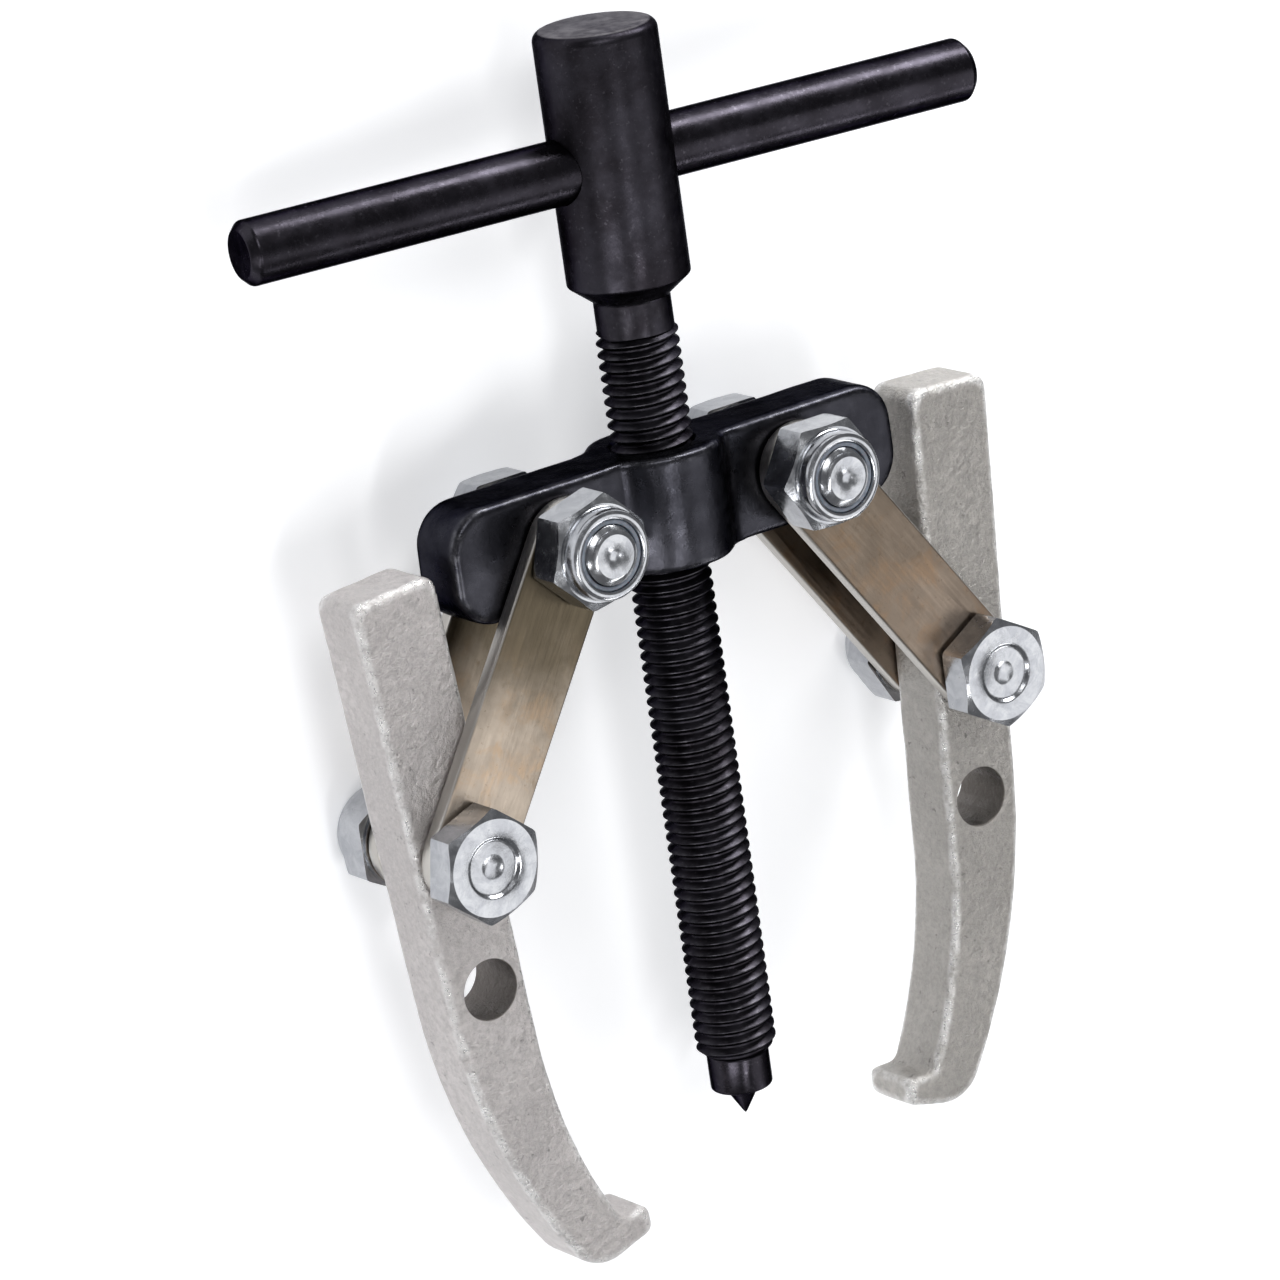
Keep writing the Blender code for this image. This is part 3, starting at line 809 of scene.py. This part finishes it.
def make_strap(side, layer, sign, material):
    """One flat strap, in front of the crosshead and jaw (sign 1) or behind them (sign -1)."""
    run = (JAW_PIVOT[side] - STRAP_PIVOT[side]).length
    radius = STRAP_WIDTH / 2
    half = STRAP_THICK / 2
    outline = (arc((0, 0), radius, 0, math.pi, math.radians(3))
               + arc((0, -run), radius, math.pi, 2 * math.pi, math.radians(3)))
    place = (Matrix.Translation(STRAP_PIVOT[side] + Vector((0, 0, sign * STRAP_LEVEL)))
             @ Matrix.Rotation(strap_turn(side), 4, "Z"))
    strap = finish_mesh(f"strap_{side}_{layer}_plate", prism(outline, -half, half), place)
    bevel(strap, STRAP_EDGE, 3)
    for pivot in (STRAP_PIVOT[side], JAW_PIVOT[side]):
        spot = pivot + Vector((0, 0, sign * STRAP_LEVEL))
        drill(strap, Matrix.Translation(spot), HOLE_R, half, 0.3 * MM)
    shade(strap, 32)
    add_piece(strap, side + "_links", "strap_plate", material, f"strap_{side}_{layer}")


def jaw_outline():
    """Outline of the right-hand jaw from its pivot: +X is outwards and the hook is at -Y."""
    outer_centre = (JAW_OUTER - OUTER_BEND_R, OUTER_BEND_START)
    heel_centre = (
        outer_centre[0] + (OUTER_BEND_R - HEEL_R) * math.cos(OUTER_BEND_SWEEP),
        outer_centre[1] - (OUTER_BEND_R - HEEL_R) * math.sin(OUTER_BEND_SWEEP),
    )
    toe_bottom = TOE_FACE - TOE_THICK
    sole = math.atan2(toe_bottom - (heel_centre[1] - HEEL_R), heel_centre[0] - TOE_TIP)
    inner_centre = (-JAW_INNER - INNER_BEND_R, INNER_BEND_START)
    fillet_y = TOE_FACE + TOE_FILLET
    fillet_drop = math.asin((INNER_BEND_START - fillet_y) / (INNER_BEND_R - TOE_FILLET))
    fillet_x = inner_centre[0] + (INNER_BEND_R - TOE_FILLET) * math.cos(fillet_drop)
    corner = JAW_TOP_CORNER
    fine = math.radians(1.5)

    points = arc((JAW_OUTER_TOP - corner, JAW_TOP - corner), corner, RIGHT_ANGLE, 0)
    points += arc(outer_centre, OUTER_BEND_R, 0, -OUTER_BEND_SWEEP, fine)
    points += arc(heel_centre, HEEL_R, -OUTER_BEND_SWEEP, -RIGHT_ANGLE - sole)[1:]
    points += arc((TOE_TIP + TOE_CORNER, toe_bottom + TOE_CORNER), TOE_CORNER,
                  -RIGHT_ANGLE - sole, -2 * RIGHT_ANGLE)
    points += [(TOE_TIP, TOE_FACE)]
    points += arc((fillet_x, fillet_y), TOE_FILLET, -RIGHT_ANGLE, -fillet_drop)
    points += arc(inner_centre, INNER_BEND_R, -fillet_drop, 0, fine)[1:]
    points += arc((-JAW_INNER + corner, JAW_TOP - corner), corner, 2 * RIGHT_ANGLE, RIGHT_ANGLE)
    return points


def make_jaw(side):
    sign = SIDES[side]
    pivot = JAW_PIVOT[side]
    lean = Matrix.Translation(pivot) @ Matrix.Rotation(-sign * JAW_LEAN[side], 4, "Z")
    outline = [(sign * x, y - JAW_DROP[side]) for x, y in jaw_outline()]
    jaw = finish_mesh(f"jaw_{side}_forging", prism(outline, -BAR_THICK / 2, BAR_THICK / 2), lean)
    bevel(jaw, JAW_EDGE, 4)
    smooth_forging(jaw, 4)
    roughen(jaw, 160, 0.14 * MM, 7.3 + sign)
    edge_wear(jaw)
    holes = (pivot, lean @ Vector((0, SPARE_HOLE_Y, 0)))
    for spot in holes:
        drill(jaw, Matrix.Translation(spot), HOLE_R, BAR_THICK / 2, 0.2 * MM)
    shade(jaw, 35)
    material = nickel_forging("nickel_forging_" + side, JAW_TINT[side], holes)
    add_piece(jaw, side + "_jaw", "nickel_forging", material, "jaw_" + side)


# ---------------------------------------------------------------- bolts and nuts

def hex_reach(angle):
    """Distance from the centre to the side of a hexagon with a corner at angle 0."""
    from_flat = (angle % math.radians(60)) - math.radians(30)
    sharp = HEX_HALF / math.cos(from_flat)
    return min(sharp, HEX_HALF / math.cos(math.radians(30)) - HEX_CORNER_OFF)


def hex_rings(low, high):
    """Rings up a hexagon: a round washer face, the flats, and corners turned off by a cone."""

    def cone(reach):
        return high - (reach - HEX_CIRCLE) * HEX_SLOPE

    return [ring(HEX_CIRCLE, low, HEX_SIDES), ring(HEX_CIRCLE, low + WASHER_FACE, HEX_SIDES),
            ring(hex_reach, low + WASHER_FACE, HEX_SIDES), ring(hex_reach, cone, HEX_SIDES),
            ring(HEX_CIRCLE, high, HEX_SIDES)]


def facing(centre, flip, turn):
    """Local +Z comes out of the tool's front, or out of its back if flipped."""
    return (Matrix.Translation(centre) @ Matrix.Rotation(math.pi if flip else 0.0, 4, "X")
            @ Matrix.Rotation(turn, 4, "Z"))


def make_bolt(place_name, side, centre, flip, material):
    """A bolt whose head is at the front, or at the back if flipped."""
    name = f"{place_name}_bolt_{side}"
    top = STACK_HALF + HEAD_HEIGHT
    thread_from = -STACK_HALF - 1.0 * MM
    rings = [ring(BOLT_R, thread_from, HEX_SIDES), ring(BOLT_R, STACK_HALF, HEX_SIDES)]
    rings += hex_rings(STACK_HALF, top)
    rings += [ring(radius * MM, top - depth * MM, HEX_SIDES) for radius, depth in HEAD_DISH]
    place = facing(centre, flip, math.radians(BOLT_TURN[place_name + "_" + side]))
    bolt = finish_mesh(name + "_zinc", skin_rings(rings), place)
    thread = threaded_rod(BOLT_R - 0.04 * MM, BOLT_PITCH, thread_from, BOLT_END, 60)
    rod = finish_mesh("rod", thread, place)
    outside, start = BOLT_R + 0.3 * MM, thread_from + 0.4 * MM
    blank = [(0, start), (outside, start), (outside, BOLT_END + BOLT_END_CHAMFER),
             (BOLT_R - 1.1 * MM, BOLT_END + 0.1 * MM), (BOLT_R - 1.4 * MM, BOLT_END),
             (BOLT_R - 2.6 * MM, BOLT_END + 0.15 * MM),
             (1.1 * MM, BOLT_END + 0.45 * MM), (0, BOLT_END + 0.9 * MM)]
    combine(rod, finish_mesh("blank", turned(blank, 60), place), "INTERSECT")
    combine(bolt, rod, "UNION")
    heal(bolt)
    shade(bolt, 25)
    body = "crosshead" if place_name == "crosshead" else side + "_pivot_bolt"
    add_piece(bolt, body, "bright_zinc", material, name)


def make_nut(place_name, side, centre, flip, zinc, ring_material):
    """A lock nut and the nylon ring in its collar, at the front, or at the back if flipped."""
    name = f"{place_name}_nut_{side}"
    rings = hex_rings(STACK_HALF, STACK_HALF + NUT_HEX_HEIGHT)
    rings += [ring(radius * MM, STACK_HALF + level * MM, HEX_SIDES)
              for radius, level in NUT_COLLAR + NUT_BORE]
    place = facing(centre, flip, math.radians(NUT_TURN[place_name + "_" + side]))
    nut = finish_mesh(name + "_zinc", skin_rings(rings, through=True), place, 25)
    body = "crosshead" if place_name == "crosshead" else side + "_pivot_bolt"
    add_piece(nut, body, "bright_zinc", zinc, name)

    loops = [ring(radius * MM, STACK_HALF + level * MM, 72) for radius, level in RING_SECTION]
    insert = finish_mesh(f"{place_name}_nut_insert_{side}_nylon", skin_rings(loops, through=True),
                         facing(centre, flip, 0.0), 35)
    add_piece(insert, body, "nylon", ring_material, f"{place_name}_nut_insert_{side}")


# ---------------------------------------------------------------- stage

def make_floor():
    bm = bmesh.new()
    bmesh.ops.create_grid(bm, x_segments=2, y_segments=2, size=FLOOR_HALF)
    floor = finish_mesh("floor", bm, Matrix.Translation((0, 0, -FLOOR_DROP)))
    s = Shader("pale_floor", Specular_IOR_Level=0.1, Emission_Color=(0.97, 0.98, 1.0, 1.0),
               Emission_Strength=FLOOR_GLOW)
    s.set("Base Color", s.mix(s.noise(3, 2, 0.5), (0.90, 0.905, 0.92), (0.92, 0.925, 0.935)))
    s.set("Roughness", s.spread(s.noise(40, 3, 0.5), 0.3, 0.7, 0.85, 0.95))
    floor.data.materials.append(s.material)


def add_light(name, toward, distance, size, radiance):
    """A soft rectangle of light that looks at the tool."""
    light = bpy.data.lights.new(name, "AREA")
    light.shape = "RECTANGLE"
    light.size, light.size_y = size
    light.energy = radiance * math.pi * size[0] * size[1]
    obj = bpy.data.objects.new(name, light)
    bpy.context.scene.collection.objects.link(obj)
    target = Vector(LIGHT_TARGET)
    obj.location = target + Vector(toward).normalized() * distance
    obj.rotation_euler = (target - obj.location).to_track_quat("-Z", "Y").to_euler()


def make_light():
    world = bpy.data.worlds.new("studio")
    world.use_nodes = True
    background = world.node_tree.nodes["Background"]
    background.inputs["Color"].default_value = WORLD_COLOR
    background.inputs["Strength"].default_value = WORLD_STRENGTH
    bpy.context.scene.world = world
    for name, settings in LIGHTS.items():
        add_light(name, *settings)


def make_camera():
    look = Vector((math.sin(CAMERA_AZIMUTH) * math.cos(CAMERA_LIFT), -math.sin(CAMERA_LIFT),
                   -math.cos(CAMERA_AZIMUTH) * math.cos(CAMERA_LIFT)))
    right = Vector((math.cos(CAMERA_AZIMUTH), 0, math.sin(CAMERA_AZIMUTH)))
    up = right.cross(look)
    across = right * math.cos(CAMERA_ROLL) + up * math.sin(CAMERA_ROLL)
    above = up * math.cos(CAMERA_ROLL) - right * math.sin(CAMERA_ROLL)
    target = HANDLE + Vector(CAMERA_TARGET)
    data = bpy.data.cameras.new("camera")
    data.sensor_width = SENSOR_WIDTH
    data.lens = FOCAL_PIXELS / PHOTO_PIXELS * SENSOR_WIDTH
    data.shift_x, data.shift_y = CAMERA_SHIFT
    data.clip_start, data.clip_end = CAMERA_CLIP
    camera = bpy.data.objects.new("camera", data)
    bpy.context.scene.collection.objects.link(camera)
    rotation = Matrix((across, above, -look)).transposed()
    spot = target - look * CAMERA_DISTANCE
    camera.matrix_world = Matrix.Translation(spot) @ rotation.to_4x4()
    bpy.context.scene.camera = camera


# ---------------------------------------------------------------- the scene

def main():
    zinc = bright_zinc()
    ring_nylon = nylon()
    oxide = black_oxide()
    make_screw(black_thread())
    make_handle(oxide)
    make_tip(oxide)
    make_crosshead(black_forging())
    for side in SIDES:
        plate = strap_plate("strap_plate_" + side, -strap_turn(side), STRAP_TINT[side],
                            STRAP_PIVOT[side], STRAP_OIL[side])
        make_strap(side, "front", 1, plate)
        make_strap(side, "rear", -1, plate)
        make_jaw(side)
        make_bolt("crosshead", side, STRAP_PIVOT[side], True, zinc)
        make_nut("crosshead", side, STRAP_PIVOT[side], False, zinc, ring_nylon)
        make_bolt("jaw", side, JAW_PIVOT[side], False, zinc)
        make_nut("jaw", side, JAW_PIVOT[side], True, zinc, ring_nylon)
    make_floor()
    make_light()
    make_camera()
    bpy.context.scene.view_settings.view_transform = "Standard"


main()
